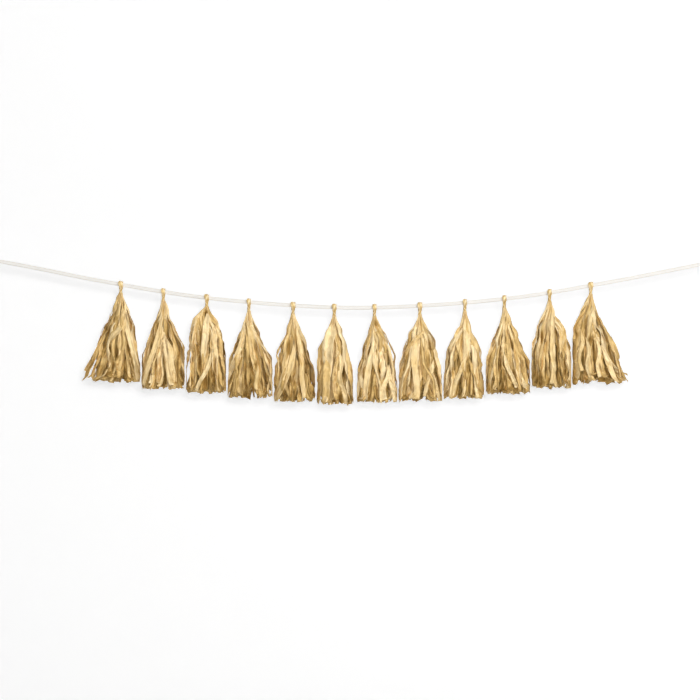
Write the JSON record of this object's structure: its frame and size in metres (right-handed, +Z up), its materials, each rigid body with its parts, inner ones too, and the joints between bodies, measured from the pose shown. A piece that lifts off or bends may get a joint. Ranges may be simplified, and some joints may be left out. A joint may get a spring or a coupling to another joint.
{
  "type": "tissue tassel garland",
  "caption": "Hanging garland of fringed tissue paper tassels, each looped loosely over a flat ribbon with a tied hanging loop at each end.",
  "frame": {"origin": "where the left hanging loop bears on its hook", "axes": "+X along the garland to the other hook, +Y away from the viewer into the wall, +Z up"},
  "size_m": [2.001, 0.0716, 0.3868],
  "materials": {
    "cream_ribbon": "smooth woven satin ribbon, soft sheen",
    "gold_tissue": "matte gold tissue paper, finely crinkled"
  },
  "bodies": {
    "ribbon_line": {"ribbon": "cream_ribbon", "left_knot": "cream_ribbon", "left_hanging_loop": "cream_ribbon", "left_cut_tail": "cream_ribbon", "right_knot": "cream_ribbon", "right_hanging_loop": "cream_ribbon", "right_cut_tail": "cream_ribbon"},
    "tassel_01_loop": {"tassel_01_twisted_loop": "gold_tissue"},
    "tassel_01_skirt": {"tassel_01_front_strips": "gold_tissue", "tassel_01_inner_strips": "gold_tissue", "tassel_01_back_strips": "gold_tissue"},
    "tassel_02_loop": {"tassel_02_twisted_loop": "gold_tissue"},
    "tassel_02_skirt": {"tassel_02_front_strips": "gold_tissue", "tassel_02_inner_strips": "gold_tissue", "tassel_02_back_strips": "gold_tissue"},
    "tassel_03_loop": {"tassel_03_twisted_loop": "gold_tissue"},
    "tassel_03_skirt": {"tassel_03_front_strips": "gold_tissue", "tassel_03_inner_strips": "gold_tissue", "tassel_03_back_strips": "gold_tissue"},
    "tassel_04_loop": {"tassel_04_twisted_loop": "gold_tissue"},
    "tassel_04_skirt": {"tassel_04_front_strips": "gold_tissue", "tassel_04_inner_strips": "gold_tissue", "tassel_04_back_strips": "gold_tissue"},
    "tassel_05_loop": {"tassel_05_twisted_loop": "gold_tissue"},
    "tassel_05_skirt": {"tassel_05_front_strips": "gold_tissue", "tassel_05_inner_strips": "gold_tissue", "tassel_05_back_strips": "gold_tissue"},
    "tassel_06_loop": {"tassel_06_twisted_loop": "gold_tissue"},
    "tassel_06_skirt": {"tassel_06_front_strips": "gold_tissue", "tassel_06_inner_strips": "gold_tissue", "tassel_06_back_strips": "gold_tissue"},
    "tassel_07_loop": {"tassel_07_twisted_loop": "gold_tissue"},
    "tassel_07_skirt": {"tassel_07_front_strips": "gold_tissue", "tassel_07_inner_strips": "gold_tissue", "tassel_07_back_strips": "gold_tissue"},
    "tassel_08_loop": {"tassel_08_twisted_loop": "gold_tissue"},
    "tassel_08_skirt": {"tassel_08_front_strips": "gold_tissue", "tassel_08_inner_strips": "gold_tissue", "tassel_08_back_strips": "gold_tissue"},
    "tassel_09_loop": {"tassel_09_twisted_loop": "gold_tissue"},
    "tassel_09_skirt": {"tassel_09_front_strips": "gold_tissue", "tassel_09_inner_strips": "gold_tissue", "tassel_09_back_strips": "gold_tissue"},
    "tassel_10_loop": {"tassel_10_twisted_loop": "gold_tissue"},
    "tassel_10_skirt": {"tassel_10_front_strips": "gold_tissue", "tassel_10_inner_strips": "gold_tissue", "tassel_10_back_strips": "gold_tissue"},
    "tassel_11_loop": {"tassel_11_twisted_loop": "gold_tissue"},
    "tassel_11_skirt": {"tassel_11_front_strips": "gold_tissue", "tassel_11_inner_strips": "gold_tissue", "tassel_11_back_strips": "gold_tissue"},
    "tassel_12_loop": {"tassel_12_twisted_loop": "gold_tissue"},
    "tassel_12_skirt": {"tassel_12_front_strips": "gold_tissue", "tassel_12_inner_strips": "gold_tissue", "tassel_12_back_strips": "gold_tissue"}
  },
  "joints": [
    {"name": "tassel_01_swing", "type": "hinge", "parent": "ribbon_line", "child": "tassel_01_loop", "pos_m": [0.427, 0, -0.08205], "axis": [0.9842, 0, -0.1769], "range_deg": [-80, 80]},
    {"name": "tassel_01_twist", "type": "hinge", "parent": "tassel_01_loop", "child": "tassel_01_skirt", "pos_m": [0.427, 0, -0.10555], "axis": [0, 0, 1], "range_deg": [-30, 30], "stiffness_Nm_per_rad": 0.0005},
    {"name": "tassel_02_swing", "type": "hinge", "parent": "ribbon_line", "child": "tassel_02_loop", "pos_m": [0.5332, 0, -0.10023], "axis": [0.9877, 0, -0.1565], "range_deg": [-80, 80]},
    {"name": "tassel_02_twist", "type": "hinge", "parent": "tassel_02_loop", "child": "tassel_02_skirt", "pos_m": [0.5332, 0, -0.12373], "axis": [0, 0, 1], "range_deg": [-30, 30], "stiffness_Nm_per_rad": 0.0005},
    {"name": "tassel_03_swing", "type": "hinge", "parent": "ribbon_line", "child": "tassel_03_loop", "pos_m": [0.6418, 0, -0.11522], "axis": [0.9931, 0, -0.1172], "range_deg": [-80, 80]},
    {"name": "tassel_03_twist", "type": "hinge", "parent": "tassel_03_loop", "child": "tassel_03_skirt", "pos_m": [0.6418, 0, -0.13872], "axis": [0, 0, 1], "range_deg": [-30, 30], "stiffness_Nm_per_rad": 0.0005},
    {"name": "tassel_04_swing", "type": "hinge", "parent": "ribbon_line", "child": "tassel_04_loop", "pos_m": [0.747, 0, -0.12595], "axis": [0.9962, 0, -0.087], "range_deg": [-80, 80]},
    {"name": "tassel_04_twist", "type": "hinge", "parent": "tassel_04_loop", "child": "tassel_04_skirt", "pos_m": [0.747, 0, -0.14945], "axis": [0, 0, 1], "range_deg": [-30, 30], "stiffness_Nm_per_rad": 0.0005},
    {"name": "tassel_05_swing", "type": "hinge", "parent": "ribbon_line", "child": "tassel_05_loop", "pos_m": [0.8576, 0, -0.13428], "axis": [0.998, 0, -0.0639], "range_deg": [-80, 80]},
    {"name": "tassel_05_twist", "type": "hinge", "parent": "tassel_05_loop", "child": "tassel_05_skirt", "pos_m": [0.8576, 0, -0.15778], "axis": [0, 0, 1], "range_deg": [-30, 30], "stiffness_Nm_per_rad": 0.0005},
    {"name": "tassel_06_swing", "type": "hinge", "parent": "ribbon_line", "child": "tassel_06_loop", "pos_m": [0.9606, 0, -0.1392], "axis": [0.9996, 0, -0.028], "range_deg": [-80, 80]},
    {"name": "tassel_06_twist", "type": "hinge", "parent": "tassel_06_loop", "child": "tassel_06_skirt", "pos_m": [0.9606, 0, -0.1627], "axis": [0, 0, 1], "range_deg": [-30, 30], "stiffness_Nm_per_rad": 0.0005},
    {"name": "tassel_07_swing", "type": "hinge", "parent": "ribbon_line", "child": "tassel_07_loop", "pos_m": [1.0612, 0, -0.13957], "axis": [0.9998, 0, 0.0191], "range_deg": [-80, 80]},
    {"name": "tassel_07_twist", "type": "hinge", "parent": "tassel_07_loop", "child": "tassel_07_skirt", "pos_m": [1.0612, 0, -0.16307], "axis": [0, 0, 1], "range_deg": [-30, 30], "stiffness_Nm_per_rad": 0.0005},
    {"name": "tassel_08_swing", "type": "hinge", "parent": "ribbon_line", "child": "tassel_08_loop", "pos_m": [1.1746, 0, -0.13517], "axis": [0.9984, 0, 0.0557], "range_deg": [-80, 80]},
    {"name": "tassel_08_twist", "type": "hinge", "parent": "tassel_08_loop", "child": "tassel_08_skirt", "pos_m": [1.1746, 0, -0.15867], "axis": [0, 0, 1], "range_deg": [-30, 30], "stiffness_Nm_per_rad": 0.0005},
    {"name": "tassel_09_swing", "type": "hinge", "parent": "ribbon_line", "child": "tassel_09_loop", "pos_m": [1.287, 0, -0.12748], "axis": [0.9966, 0, 0.0821], "range_deg": [-80, 80]},
    {"name": "tassel_09_twist", "type": "hinge", "parent": "tassel_09_loop", "child": "tassel_09_skirt", "pos_m": [1.287, 0, -0.15098], "axis": [0, 0, 1], "range_deg": [-30, 30], "stiffness_Nm_per_rad": 0.0005},
    {"name": "tassel_10_swing", "type": "hinge", "parent": "ribbon_line", "child": "tassel_10_loop", "pos_m": [1.3856, 0, -0.11787], "axis": [0.9936, 0, 0.1129], "range_deg": [-80, 80]},
    {"name": "tassel_10_twist", "type": "hinge", "parent": "tassel_10_loop", "child": "tassel_10_skirt", "pos_m": [1.3856, 0, -0.14137], "axis": [0, 0, 1], "range_deg": [-30, 30], "stiffness_Nm_per_rad": 0.0005},
    {"name": "tassel_11_swing", "type": "hinge", "parent": "ribbon_line", "child": "tassel_11_loop", "pos_m": [1.4986, 0, -0.10248], "axis": [0.9873, 0, 0.1586], "range_deg": [-80, 80]},
    {"name": "tassel_11_twist", "type": "hinge", "parent": "tassel_11_loop", "child": "tassel_11_skirt", "pos_m": [1.4986, 0, -0.12598], "axis": [0, 0, 1], "range_deg": [-30, 30], "stiffness_Nm_per_rad": 0.0005},
    {"name": "tassel_12_swing", "type": "hinge", "parent": "ribbon_line", "child": "tassel_12_loop", "pos_m": [1.6016, 0, -0.08458], "axis": [0.984, 0, 0.1782], "range_deg": [-80, 80]},
    {"name": "tassel_12_twist", "type": "hinge", "parent": "tassel_12_loop", "child": "tassel_12_skirt", "pos_m": [1.6016, 0, -0.10808], "axis": [0, 0, 1], "range_deg": [-30, 30], "stiffness_Nm_per_rad": 0.0005}
  ]
}
